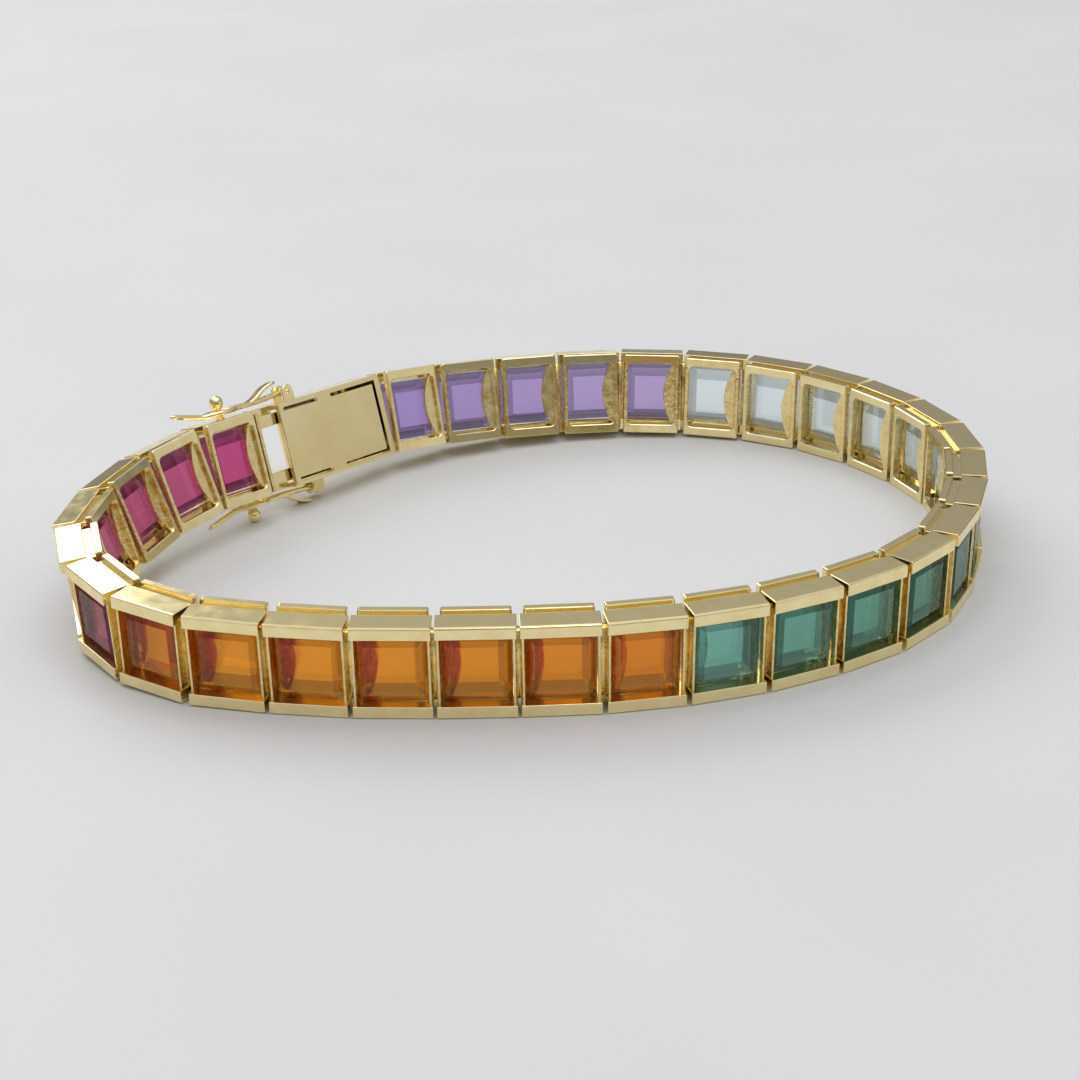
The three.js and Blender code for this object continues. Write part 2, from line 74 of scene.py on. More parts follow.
# Runs of stones in the order of the chain, from the end link round the front to the clasp's box:
# how many, the light that passes straight through one, and the tint of its first and last stone
RUNS = {
    "pink": (6, (0.78, 0.26, 0.50), (0.74, 0.15, 0.40), (0.96, 0.92, 0.60)),
    "orange": (7, (0.92, 0.40, 0.008), (1.0, 1.0, 1.0), (0.82, 0.58, 1.0)),
    "green": (6, (0.22, 0.52, 0.44), (1.0, 1.0, 1.0), (0.92, 0.86, 0.66)),
    "white": (7, (0.86, 0.94, 0.95), (1.0, 1.0, 1.0), (1.0, 1.0, 1.0)),
    "violet": (5, (0.58, 0.45, 0.78), (1.0, 1.0, 1.0), (0.72, 0.60, 0.82)),
}


def length(name, description, millimetres):
    return FloatProperty(name=name, description=description, default=millimetres * MM, unit="LENGTH")


def share_of(name, description, value):
    return FloatProperty(name=name, description=description, default=value, subtype="FACTOR")


def angle(name, description, degrees):
    return FloatProperty(name=name, description=description, default=math.radians(degrees),
                         subtype="ANGLE")


def colour_of(name, description, value):
    return FloatVectorProperty(name=name, description=description, default=value, subtype="COLOR")


def span_from_mouth(name, shares):
    return FloatVectorProperty(name=name, description="Span from the mouth, as shares of the box",
                               size=2, default=shares)


# Sizes and colours that a user would change
class LinkSizes(bpy.types.PropertyGroup):
    pitch: length("Pitch", "Length of one link", 5.4)
    height: length("Height", "Height of a link", 6.65)
    depth: length("Depth", "Outer face to inner face", 3.05)
    rail_height: length("Rail height", "Height of a rail's outer face", 0.9)
    rail_depth: length("Rail depth", "Depth of a rail", 1.9)
    rail_gap: length("Rail gap", "Gap between the rails of two links", 0.16)
    rail_edge: length("Rail edge", "Rounding of a rail's outer edge", 0.16)
    frame_length: length("Frame length", "Length of the inner frame", 4.62)
    frame_thickness: length("Frame thickness", "Thickness of the inner frame", 0.55)
    frame_bar: length("Frame bar", "Upper and lower bar of the inner frame", 0.7)
    frame_side: length("Frame side", "Side bar of the inner frame", 0.34)
    frame_corner: length("Frame corner", "Corner radius of the window", 0.4)
    web_drop: length("Web drop", "Groove between rail and inner frame", 0.35)
    web_thickness: length("Web thickness", "Web at the floor of the groove", 0.3)
    lug_reach: length("Lug reach", "How far the hinge's lug stands into the window", 0.95)
    lug_bulge: length("Lug bulge", "How far the lug's edge bulges", 0.7)
    lug_thickness: length("Lug thickness", "Thickness of the lug", 0.28)
    lug_height: share_of("Lug height", "Half the lug's height over the link's", 0.38)
    wall: length("End wall", "Thin wall beside a stone", 0.16)
    wall_inset: length("End wall inset", "End wall behind the outer face", 0.3)
    wall_setback: length("End wall setback", "End wall from the rails' ends", 0.1)
    hinge_depth: length("Hinge depth", "Hinge axis behind the outer face", 1.45)
    knuckle: length("Knuckle", "Radius of a hinge knuckle", 0.42)
    soft_edge: length("Soft edge", "Rounding of the other polished edges", 0.05)
    seed: IntProperty(name="Seed", description="Seed of the small differences", default=7)


class StoneSizes(bpy.types.PropertyGroup):
    table_inset: length("Table inset", "Table behind the rails' outer face", 0.3)
    width: length("Width", "Along the chain", 4.64)
    height: length("Height", "Between the rails", 4.77)
    crown: length("Crown", "Height of the crown", 0.5)
    girdle: length("Girdle", "Thickness of the girdle", 0.14)
    pavilion: length("Pavilion", "Depth of the pavilion", 1.4)
    table: share_of("Table", "Table over the stone's width", 0.74)
    crown_step: share_of("Crown step", "Edge between the crown's two steps, over the width", 0.87)
    pavilion_step: share_of("Pavilion step", "The same for the pavilion's two steps", 0.84)
    back: share_of("Back", "Flat back over the stone's width", 0.60)
    step_place: share_of("Step place", "Where crown and pavilion change slope", 0.45)
    refraction: FloatProperty(name="Refraction", description="Index of refraction", default=1.6)
    # Painted shade on the stones' side faces: how light the faces beside the table and the steeper sides
    # are painted, and how dark the darkest painted shade is.
    sloped: share_of("Sloped sides", "Light let through beside the table", 0.35)
    steep: share_of("Steep sides", "Light let through by the steep sides", 0.08)
    side_shade: share_of("Side shade", "How much light the darkest sides keep", 0.12)
    unevenness: angle("Unevenness", "How crookedly the stones are set", 0.9)


class ClaspSizes(bpy.types.PropertyGroup):
    box_start: length("Box start", "Closed end of the box, from the end link's middle", -15.58)
    mouth: length("Mouth", "Open end of the box, from the end link's middle", -4.78)
    arm_end: length("Arm end", "End of the box's arms, from the end link's middle", -2.92)
    arm_height: length("Arm height", "Height of an arm", 0.8)
    arm_inset: length("Arm inset", "Arms behind the outer face", 0.9)
    wall: length("Wall", "Wall of the box", 0.4)
    notch: length("Notch", "Notch in the box's outer wall, from the mouth", 2.6)
    room: length("Room", "Room round the tongue", 0.18)
    slot_width: length("Slot width", "Slots round the inner plate", 0.3)
    slot_margin: length("Slot margin", "Slots from the box's edge", 0.33)
    slot_depth: length("Slot depth", "Depth of the slots, through the wall", 0.5)
    near_slots: span_from_mouth("Near slots", (0.04, 0.37))
    end_slot: span_from_mouth("End slot", (0.5, 0.94))
    tongue_length: length("Tongue length", "Tongue inside the box", 5.5)
    tongue_thickness: length("Tongue thickness", "Thickness of the tongue", 0.4)
    prong_height: length("Prong height", "Height of the tongue's two prongs", 0.95)
    spring_depth: length("Spring depth", "Outer side of the tongue's folded spring", 1.0)
    spring_length: length("Spring length", "Length of the tongue's folded spring", 4.0)
    end_plate: length("End plate", "Plate at the end link's free end", 0.3)


class CatchSizes(bpy.types.PropertyGroup):
    depth: length("Depth", "Catches behind the outer face", 1.15)
    ball_place: length("Ball place", "Upper ball from the end link's middle", -0.5)
    lower_shift: length("Lower shift", "How far the lower catch lies from the upper one", -0.9)
    ball: length("Ball", "Radius of the ball", 0.55)
    stem: length("Stem", "Radius of the ball's stem", 0.26)
    stem_height: length("Stem height", "Stem between the edge and the ball", 0.8)
    wire: length("Wire", "Radius of the wires", 0.19)
    wire_rise: length("Wire rise", "Wires above the link's edge", 0.5)
    clearance: length("Clearance", "Room between the ball and the wires", 0.17)
    loop: length("Loop", "Half the length of the loop round the stem", 1.15)
    tail: length("Tail", "Thumb tail past the loop", 3.3)
    tail_rise: length("Tail rise", "How far the tail rises", 0.7)
    reach: length("Reach", "From the ball to the hinge", 6.5)
    hinge_rise: length("Hinge rise", "Hinge above the link's edge", 0.65)
    barrel: length("Barrel", "Radius of the barrel", 0.34)
    barrel_length: length("Barrel length", "Length of the barrel", 0.6)
    pin: length("Pin", "Radius of the hinge pin", 0.17)
    ear: length("Ear", "Radius of the ears", 0.56)
    ear_thickness: length("Ear thickness", "Thickness of the ears", 0.3)
    ear_clearance: length("Ear clearance", "Room between an ear and the barrel", 0.12)
    leaf_foot: length("Leaf foot", "Foot of the leaf from the ball", 2.8)
    leaf_width: length("Leaf width", "Width of the raised leaf", 0.9)
    leaf_thickness: length("Leaf thickness", "Thickness of the raised leaf", 0.26)
    leaf_run: length("Leaf run", "Length of the leaf along the chain", 2.9)
    leaf_rise: length("Leaf rise", "How far the leaf rises above the wires", 1.1)


class FinishColours(bpy.types.PropertyGroup):
    gold: colour_of("Gold", "Colour of the polished gold", (1.0, 0.87, 0.49))
    deep_gold: colour_of("Deep gold", "Colour of the unpolished gold", (0.86, 0.62, 0.23))
    mixing: share_of("Mixing", "Deep gold in the clouds of polished gold", 0.4)
    floor: colour_of("Floor", "Colour of the floor", (0.74, 0.745, 0.75))


class StageSizes(bpy.types.PropertyGroup):
    camera_place: FloatVectorProperty(name="Camera", description="Place of the camera", unit="LENGTH",
                                      default=(0.291 * MM, -149.951 * MM, 67.802 * MM))
    elevation: angle("Elevation", "How far the camera looks down", 24.03)
    roll: angle("Roll", "Roll of the camera", -1.073)
    focal_share: FloatProperty(name="Focal share", description="Focal length over the frame's side",
                               default=2174.3 / 1080.0)
    floor_side: length("Floor", "Side of the floor", 4000.0)


# Shapes: closed shells through loops of points
def rounded_loop(x, y, radii, steps=4):
    """Points of a rectangle from its limits in x and y, with one radius for each corner."""
    corners = (
        (x[0], y[0], 1, 1, math.pi),
        (x[1], y[0], -1, 1, 1.5 * math.pi),
        (x[1], y[1], -1, -1, 0.0),
        (x[0], y[1], 1, -1, 0.5 * math.pi),
    )
    points = []
    for (cx, cy, sx, sy, start), radius in zip(corners, radii):
        for step in range(steps + 1):
            angle = start + 0.5 * math.pi * step / steps
            points.append((cx + radius * (sx + math.cos(angle)), cy + radius * (sy + math.sin(angle))))
    return points


def shell(bm, loops, finish=POLISHED, closed=False, smooth=False):
    """Faces from loop to loop. Unless the loops close in a ring, both ends get a cap."""
    rings = [[bm.verts.new(point) for point in loop] for loop in loops]
    count = len(rings[0])
    pairs = list(zip(rings, rings[1:]))
    if closed:
        pairs.append((rings[-1], rings[0]))
    faces = []
    for near, far in pairs:
        for k in range(count):
            after = (k + 1) % count
            faces.append(bm.faces.new((near[k], near[after], far[after], far[k])))
    if not closed:
        faces.append(bm.faces.new(list(reversed(rings[0]))))
        faces.append(bm.faces.new(rings[-1]))
    for face in faces:
        face.material_index = finish
        face.smooth = smooth
    return faces


def bar(bm, u, d, h, edge, radii=None, finish=POLISHED):
    """A bar along u with rounded edges. The radii of its section's corners may differ."""
    radii = radii or (edge,) * 4
    part = 0.3 * edge
    loops = []
    for place, inset in ((u[0], edge), (u[0] + part, part), (u[0] + edge, 0.0),
                         (u[1] - edge, 0.0), (u[1] - part, part), (u[1], edge)):
        rounds = [max(radius - inset, 0.2 * radius) for radius in radii]
        section = rounded_loop((d[0] + inset, d[1] - inset), (h[0] + inset, h[1] - inset), rounds, 3)
        loops.append([Vector((place, a, b)) for a, b in section])
    shell(bm, loops, finish)


def hoop(bm, u, h, d, side, bars, corner, edge):
    """A flat frame: outside limits in u and h, thickness in d, side and cross bars, rounded window.

    Its profile goes once round a bar: 0 across is the frame's outside, and 1 is the window.
    """
    profile = (
        (0.0, d[0] + edge), (edge, d[0]), (1.0 - edge, d[0]), (1.0, d[0] + edge),
        (1.0, d[1] - edge), (1.0 - edge, d[1]), (edge, d[1]), (0.0, d[1] - edge),
    )
    loops = []
    for across, depth in profile:
        outer = across < 0.5
        slip = across if outer else across - 1.0
        if outer:
            inset_u, inset_h, radius = slip, slip, 3.0 * edge
        else:
            inset_u, inset_h, radius = side + slip, bars + slip, corner - slip
        section = rounded_loop((u[0] + inset_u, u[1] - inset_u), (h[0] + inset_h, h[1] - inset_h),
                               (radius,) * 4, 5)
        loops.append([Vector((a, depth, b)) for a, b in section])
    middle = 0.5 * (h[0] + h[1])
    straight = 0.5 * (h[1] - h[0]) - bars - corner
    for face in shell(bm, loops, closed=True):
        if abs(face.calc_center_median().z - middle) < straight:
            face.material_index = CAST


def plate(bm, outline, d, edge, finish=POLISHED):
    """A plate with an outline in u and h, given anticlockwise, and bevelled edges."""
    centre = sum((Vector(point) for point in outline), Vector((0.0, 0.0))) / len(outline)
    loops = []
    for depth, inset in ((d[0], edge), (d[0] + edge, 0.0), (d[1] - edge, 0.0), (d[1], edge)):
        loop = []
        for point in outline:
            offset = Vector(point) - centre
            offset *= 1.0 - inset / max(offset.length, edge * 2.0)
            loop.append(Vector((centre.x + offset.x, depth, centre.y + offset.y)))
        loops.append(loop)
    shell(bm, loops, finish)


def turned(bm, place, axis, profile, sides=20, finish=POLISHED):
    """A turned shape round an axis through a place: profile of radius and distance along it."""
    across = axis.orthogonal().normalized()
    third = axis.cross(across)
    loops = []
    for radius, along in profile:
        loops.append([place + axis * along + (across * math.cos(a) + third * math.sin(a)) * radius
                      for a in (2.0 * math.pi * k / sides for k in range(sides))])
    shell(bm, loops, finish, smooth=True)


def smooth_path(points, steps):
    """A smooth curve through the points."""
    points = [Vector(point) for point in points]
    ends = [points[0] * 2.0 - points[1]] + points + [points[-1] * 2.0 - points[-2]]
    path = []
    for a, b, c, e in zip(ends, ends[1:], ends[2:], ends[3:]):
        for step in range(steps):
            t = step / steps
            path.append(0.5 * (2.0 * b + (c - a) * t + (2.0 * a - 5.0 * b + 4.0 * c - e) * t * t
                               + (3.0 * b - a - 3.0 * c + e) * t * t * t))
    path.append(points[-1])
    return path


def sweep(bm, path, section, scales, smooth):
    """A section, given across d and across the path, carried along a path and scaled at each point."""
    side = Vector((0.0, 1.0, 0.0))
    loops = []
    for k, point in enumerate(path):
        ahead = path[min(k + 1, len(path) - 1)]
        behind = path[max(k - 1, 0)]
        along = (ahead - behind).normalized()
        normal = along.cross(side).normalized()
        across = normal.cross(along)
        loops.append([point + (across * a + normal * b) * scales[k] for a, b in section])
    shell(bm, loops, smooth=smooth)


def mirrored_in_height(bm, height, shift):
    """Copies everything to the other edge of the link, a little further along."""
    made = bmesh.ops.duplicate(bm, geom=bm.verts[:] + bm.edges[:] + bm.faces[:])["geom"]
    for vert in (item for item in made if isinstance(item, bmesh.types.BMVert)):
        vert.co.z = height - vert.co.z
        vert.co.x += shift


def mesh_from(bm, name, pose=None):
    bmesh.ops.recalc_face_normals(bm, faces=bm.faces)
    if pose is not None:
        bm.transform(pose)
    mesh = bpy.data.meshes.new(name)
    bm.to_mesh(mesh)
    bm.free()
    return mesh


# Frames of the links, read from the model's stones
def stone_frame(node, sizes, link):
    """Place and turn of one stone's link: the middle of its outer face's lower edge, and u, d, h."""
    mesh = frame["nodes"][node].data
    corners = []
    same_place = 0.001 * MM
    for vert in mesh.vertices:
        if all((vert.co - other).length > same_place for other in corners):
            corners.append(vert.co.copy())
    middle = sum(corners, Vector()) / len(corners)
    girdle_corners = 8
    girdle = sorted(corners, key=lambda corner: -(corner - middle).length)[:girdle_corners]
    centre = sum(girdle, Vector()) / len(girdle)
    reach = 0.5 * (sizes.width + sizes.height)
    sides = [b - a for a in girdle for b in girdle if 0.9 * reach < (b - a).length < 1.1 * reach]
    steep = max(sides, key=lambda side: side.z)
    flat = min(sides, key=lambda side: abs(side.z))

    def exact(rough):
        total = Vector()
        for corner in corners:
            offset = corner - middle
            total += offset if offset.dot(rough) > 0.0 else -offset
        return total.normalized()

    up = exact(steep)
    along = exact(flat)
    inward = up.cross(along)
    if (middle - centre).dot(inward) < 0.0:
        along.negate()
        inward.negate()
    depth = sizes.table_inset + sizes.crown + 0.5 * sizes.girdle
    origin = centre - inward * depth - up * 0.5 * link.height
    turn = Matrix((along, inward, up)).transposed()
    return Matrix.Translation(origin) @ turn.to_4x4()


def all_frames():
    """Frames of all links, from the end link round the front to the clasp's box."""
    sizes, link = bpy.context.scene.bracelet_stones, bpy.context.scene.bracelet_links
    names = [f"stone_{run}_{count + 1}" for run, (total, *_) in RUNS.items() for count in range(total)]
    missing = [name for name in names if name not in frame["nodes"]]
    if missing:
        raise RuntimeError("no link has a place without " + ", ".join(missing))
    return [stone_frame(name, sizes, link) for name in names]


def add_object(name, data):
    made = bpy.data.objects.new(name, data)
    bpy.context.collection.objects.link(made)
    return made


# Trees that set one part at many places
def named_attribute(nodes, kind, name):
    node = nodes.new("GeometryNodeInputNamedAttribute")
    node.data_type = kind
    node.inputs["Name"].default_value = name
    return node.outputs["Attribute"]


def socket_of(sockets, name, kind):
    """The socket of one type, on a node where several share a name."""
    return next(socket for socket in sockets if socket.name == name and socket.type == kind)


def setting_tree(name, finishes):
    """Sets a part at every place, turned as the place says, with its finishes by face number."""
    tree = bpy.data.node_groups.new(name, "GeometryNodeTree")
    inputs = {"Places": "Geometry", "Part": "Object", "Unevenness": "Float", "Seed": "Int"}
    inputs.update({finish: "Material" for finish in finishes})
    for label, kind in inputs.items():
        tree.interface.new_socket(label, in_out="INPUT", socket_type="NodeSocket" + kind)
    tree.interface.new_socket("Result", in_out="OUTPUT", socket_type="NodeSocketGeometry")
    nodes, links = tree.nodes, tree.links
    given = nodes.new("NodeGroupInput")
    part = nodes.new("GeometryNodeObjectInfo")
    links.new(given.outputs["Part"], part.inputs["Object"])
    turn = named_attribute(nodes, "FLOAT_VECTOR", "turn")
    base = nodes.new("FunctionNodeEulerToRotation")
    links.new(turn, base.inputs["Euler"])
    low = nodes.new("ShaderNodeMath")
    low.operation = "MULTIPLY"
    low.inputs[1].default_value = -1.0
    links.new(given.outputs["Unevenness"], low.inputs[0])
    tilt = nodes.new("FunctionNodeRandomValue")
    tilt.data_type = "FLOAT_VECTOR"
    links.new(low.outputs[0], tilt.inputs["Min"])
    links.new(given.outputs["Unevenness"], tilt.inputs["Max"])
    links.new(given.outputs["Seed"], tilt.inputs["Seed"])
    small = nodes.new("FunctionNodeEulerToRotation")
    links.new(tilt.outputs["Value"], small.inputs["Euler"])
    whole = nodes.new("FunctionNodeRotateRotation")
    whole.rotation_space = "LOCAL"
    links.new(base.outputs["Rotation"], whole.inputs["Rotation"])
    links.new(small.outputs["Rotation"], whole.inputs["Rotate By"])
    placing = nodes.new("GeometryNodeInstanceOnPoints")
    links.new(given.outputs["Places"], placing.inputs["Points"])
    links.new(part.outputs["Geometry"], placing.inputs["Instance"])
    links.new(whole.outputs["Rotation"], placing.inputs["Rotation"])
    real = nodes.new("GeometryNodeRealizeInstances")
    links.new(placing.outputs["Instances"], real.inputs["Geometry"])
    last = real.outputs["Geometry"]
    for number, finish in enumerate(finishes):
        dress = nodes.new("GeometryNodeSetMaterial")
        if number > 0:
            kind = named_attribute(nodes, "INT", "finish")
            same = nodes.new("FunctionNodeCompare")
            same.data_type = "INT"
            same.operation = "EQUAL"
            links.new(kind, socket_of(same.inputs, "A", "INT"))
            socket_of(same.inputs, "B", "INT").default_value = number
            links.new(same.outputs["Result"], dress.inputs["Selection"])
        links.new(last, dress.inputs["Geometry"])
        links.new(given.outputs[finish], dress.inputs["Material"])
        last = dress.outputs["Geometry"]
    result = nodes.new("NodeGroupOutput")
    links.new(last, result.inputs["Result"])
    return tree


def evaluated_mesh(thing):
    """A plain mesh of an object as its modifiers leave it."""
    depsgraph = bpy.context.evaluated_depsgraph_get()
    return bpy.data.meshes.new_from_object(thing.evaluated_get(depsgraph), depsgraph=depsgraph)


def set_along(name, tree, part, places, values):
    """Runs a setting tree on places given as matrix and tint, and returns one plain object."""
    points = bpy.data.meshes.new(name + "_places")
    points.from_pydata([matrix.translation for matrix, _ in places], [], [])
    turns = points.attributes.new("turn", "FLOAT_VECTOR", "POINT")
    for k, (matrix, _) in enumerate(places):
        turns.data[k].vector = matrix.to_euler()
    tints = points.attributes.new("tint", "FLOAT_COLOR", "POINT")
    for k, (_, tint) in enumerate(places):
        tints.data[k].color = (*tint, 1.0)
    holder = add_object(name + "_places", points)
    modifier = holder.modifiers.new("Setting", "NODES")
    modifier.node_group = tree
    inputs = (item for item in tree.interface.items_tree if item.in_out == "INPUT")
    sockets = {item.name: item.identifier for item in inputs}
    modifier[sockets["Part"]] = part
    for label, value in values.items():
        modifier[sockets[label]] = value
    mesh = evaluated_mesh(holder)
    mesh.name = name
    bpy.data.objects.remove(holder)
    return add_object(name, mesh)


def number_finishes(mesh):
    """Keeps each face's finish as a number that the setting tree reads."""
    finish = mesh.attributes.new("finish", "INT", "FACE")
    finish.data.foreach_set("value", [polygon.material_index for polygon in mesh.polygons])


def plain_object(name, mesh, materials):
    for material in materials:
        mesh.materials.append(material)
    return add_object(name, mesh)


# Materials
def shader(name):
    """A material with its Principled node, its nodes and links.

    The model's own material of that name is taken over, so the stones keep the model's alpha.
    """
    material = bpy.data.materials.get(name) or bpy.data.materials.new(name)
    material.use_nodes = True
    nodes = material.node_tree.nodes
    return material, nodes["Principled BSDF"], nodes, material.node_tree.links


def set_inputs(node, values):
    for name, value in values.items():
        node.inputs[name].default_value = value


def noise_of(nodes, links, scale, detail):
    place = nodes.new("ShaderNodeTexCoord")
    noise = nodes.new("ShaderNodeTexNoise")
    set_inputs(noise, {"Scale": scale, "Detail": detail})
    links.new(place.outputs["Object"], noise.inputs["Vector"])
    return noise.outputs["Fac"]


def span_of(nodes, links, source, low, high):
    span = nodes.new("ShaderNodeMapRange")
    set_inputs(span, {"From Min": NOISE_LOW, "From Max": NOISE_HIGH, "To Min": low, "To Max": high})
    links.new(source, span.inputs["Value"])
    return span.outputs["Result"]


def bump_of(nodes, links, source, strength, distance):
    bump = nodes.new("ShaderNodeBump")
    set_inputs(bump, {"Strength": strength, "Distance": distance})
    links.new(source, bump.inputs["Height"])
    return bump


def ramp_of(nodes, links, source, stops):
    """Colour from a number, by stops of place and colour."""
    ramp = nodes.new("ShaderNodeValToRGB")
    elements = ramp.color_ramp.elements
    elements.remove(elements[1])
    for k, (place, colour) in enumerate(stops):
        element = elements[0] if k == 0 else elements.new(place)
        element.position = place
        element.color = (*colour, 1.0)
    links.new(source, ramp.inputs["Fac"])
    return ramp.outputs["Color"]


def gold(name, colour, other, roughness, tone, relief):
    """Gold with a cloudy change of colour and roughness, and a relief of one or more grains.

    Tone is the clouds' noise scale. A grain has its noise scale, its strength and its height.
    """
    material, surface, nodes, links = shader(name)
    surface.inputs["Metallic"].default_value = 1.0
    cloud = noise_of(nodes, links, tone, 3.0)
    mixed = ramp_of(nodes, links, cloud, ((NOISE_LOW, colour), (NOISE_HIGH, other)))
    links.new(mixed, surface.inputs["Base Color"])
    links.new(span_of(nodes, links, cloud, *roughness), surface.inputs["Roughness"])
    normal = None
    for scale, strength, distance in relief:
        bump = bump_of(nodes, links, noise_of(nodes, links, scale, 4.0), strength, distance)
        if normal is not None:
            links.new(normal, bump.inputs["Normal"])
        normal = bump.outputs["Normal"]
    links.new(normal, surface.inputs["Normal"])
    return material


def metals():
    """Polished, satin and cast gold, made at the first call."""
    made = [bpy.data.materials.get(name) for name in ("polished_gold", "satin_gold", "cast_gold")]
    if all(made):
        return made
    colours = bpy.context.scene.bracelet_finishes
    warm = tuple(colours.gold)
    deep = tuple(colours.deep_gold)
    mixing = colours.mixing
    between = tuple((1.0 - mixing) * a + mixing * b for a, b in zip(warm, deep))
    polished = gold("polished_gold", warm, between, roughness=(0.10, 0.20), tone=900.0,
                    relief=((500.0, 0.10, 0.02 * MM), (6000.0, 0.05, 0.005 * MM)))
    satin = gold("satin_gold", warm, between, roughness=(0.32, 0.38), tone=300.0,
                 relief=((9000.0, 0.12, 0.004 * MM),))
    cast = gold("cast_gold", deep, warm, roughness=(0.16, 0.34), tone=1500.0,
                relief=((2600.0, 0.9, 0.06 * MM), (9000.0, 0.5, 0.02 * MM)))
    return [polished, satin, cast]


def gem(run):
    """Clear coloured stone that absorbs light along its path. Its base colour is painted darker on the
    side faces, as painted shade, by a share kept on each face.
    """
    sizes = bpy.context.scene.bracelet_stones
    passed = RUNS[run][1]
    depth = sizes.crown + sizes.girdle + sizes.pavilion
    material, surface, nodes, links = shader(run + "_stone")
    set_inputs(surface, {"Transmission Weight": 1.0, "IOR": sizes.refraction,
                         "Specular IOR Level": 0.15})
    tint = nodes.new("ShaderNodeAttribute")
    tint.attribute_name = "tint"
    painted_light_share = nodes.new("ShaderNodeAttribute")
    painted_light_share.attribute_name = "painted_light_share"
    # Painted shade: the stone's tint is mixed towards a dark colour by each face's share, darkest at the
    # girdle.
    shade = nodes.new("ShaderNodeMix")
    shade.data_type = "RGBA"
    links.new(painted_light_share.outputs["Fac"], shade.inputs["Factor"])
    painted_shade_colour = tuple(sizes.side_shade * share * share for share in passed)
    socket_of(shade.inputs, "A", "RGBA").default_value = (*painted_shade_colour, 1.0)
    links.new(tint.outputs["Color"], socket_of(shade.inputs, "B", "RGBA"))
    links.new(socket_of(shade.outputs, "Result", "RGBA"), surface.inputs["Base Color"])
    links.new(span_of(nodes, links, noise_of(nodes, links, 1200.0, 2.0), 0.0, 0.03),
              surface.inputs["Roughness"])
    bump = bump_of(nodes, links, noise_of(nodes, links, 1500.0, 2.0), 0.03, 0.01 * MM)
    links.new(bump.outputs["Normal"], surface.inputs["Normal"])
    losses = [-math.log(share) for share in passed]
    most = max(losses)
    absorption = nodes.new("ShaderNodeVolumeAbsorption")
    kept = (*(1.0 - loss / most for loss in losses), 1.0)
    set_inputs(absorption, {"Color": kept, "Density": most / depth})
    links.new(absorption.outputs["Volume"], nodes["Material Output"].inputs["Volume"])
    return material


# One link
def link_mesh(bm, sizes, own_hinge=True):
    """Rails, inner frame, webs, end walls and the hinge's lug, and the knuckle to the next link."""
    half = 0.5 * (sizes.pitch - sizes.rail_gap)
    edge = sizes.soft_edge
    high = sizes.height
    rail = sizes.rail_height
    round_edge = sizes.rail_edge
    bar(bm, (-half, half), (0.0, sizes.rail_depth), (0.0, rail), edge, (round_edge, edge, edge, edge))
    bar(bm, (-half, half), (0.0, sizes.rail_depth), (high - rail, high), edge,
        (edge, edge, edge, round_edge))
    frame_half = 0.5 * sizes.frame_length
    back = (sizes.depth - sizes.frame_thickness, sizes.depth)
    hoop(bm, (-frame_half, frame_half), (0.0, high), back, sizes.frame_side, sizes.frame_bar,
         sizes.frame_corner, edge)
    web = (2.0 * edge - frame_half, frame_half - 2.0 * edge)
    depths = (sizes.rail_depth - 2.0 * edge, back[0] + 2.0 * edge)
    drop, thick = sizes.web_drop, sizes.web_thickness
    bar(bm, web, depths, (drop, drop + thick), edge)
    bar(bm, web, depths, (high - drop - thick, high - drop), edge)
    for side in (-1.0, 1.0):
        far = half - sizes.wall_setback
        wall = sorted((side * far, side * (far - sizes.wall)))
        bar(bm, wall, (sizes.wall_inset, sizes.rail_depth - edge), (rail - edge, high - rail + edge),
            0.5 * edge, finish=CAST)
    middle = 0.5 * high
    reach = sizes.lug_height * high
    start = -frame_half + 0.5 * sizes.frame_side
    outline = [(start, middle + reach), (start, middle - reach)]
    steps = 12
    for step in range(steps + 1):
        share = 2.0 * step / steps - 1.0
        bulge = sizes.lug_reach - sizes.lug_bulge * share * share
        outline.append((-frame_half + sizes.frame_side + bulge, middle + share * reach))
    # The lug takes the cast finish with its deep gold. This is partly the lug's rough cast surface and
    # partly painted shade for the dark inside of the link that it reflects.
    plate(bm, outline, (back[0], back[0] + sizes.lug_thickness), edge, finish=CAST)
    if own_hinge:
        upright = Vector((0.0, 0.0, 1.0))
        low = rail - 2.0 * edge
        tall = high - 2.0 * low
        radius = sizes.knuckle
        end, shoulder = 0.6 * radius, 0.3 * radius
        turned(bm, Vector((0.5 * sizes.pitch, sizes.hinge_depth, low)), upright,
               ((end, 0.0), (radius, shoulder), (radius, tall - shoulder), (end, tall)), 12, CAST)


class BRACELET_OT_links(bpy.types.Operator):
    """Set the gold links along the chain"""

    bl_idname = "bracelet.links"
    bl_label = "Links"

    def execute(self, context):
        sizes = context.scene.bracelet_links
        frames = all_frames()
        bm = bmesh.new()
        link_mesh(bm, sizes)
        mesh = mesh_from(bm, "link")
        number_finishes(mesh)
        part = bpy.data.objects.new("link", mesh)
        tree = setting_tree("Set links", ("Polished", "Satin", "Cast"))
        polished, satin, cast = metals()
        values = {"Seed": sizes.seed, "Polished": polished, "Satin": satin, "Cast": cast}
        runs = {
            "links_front": ("chain_front", frames[1:FIRST_BACK_LINK]),
            "links_back": ("chain_back", frames[FIRST_BACK_LINK:]),
        }
        for name, (node, places) in runs.items():
            made = set_along(name, tree, part, [(place, (1.0, 1.0, 1.0)) for place in places], values)
            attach(made, BODY)
            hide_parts(node)
        bpy.data.objects.remove(part)
        return {"FINISHED"}


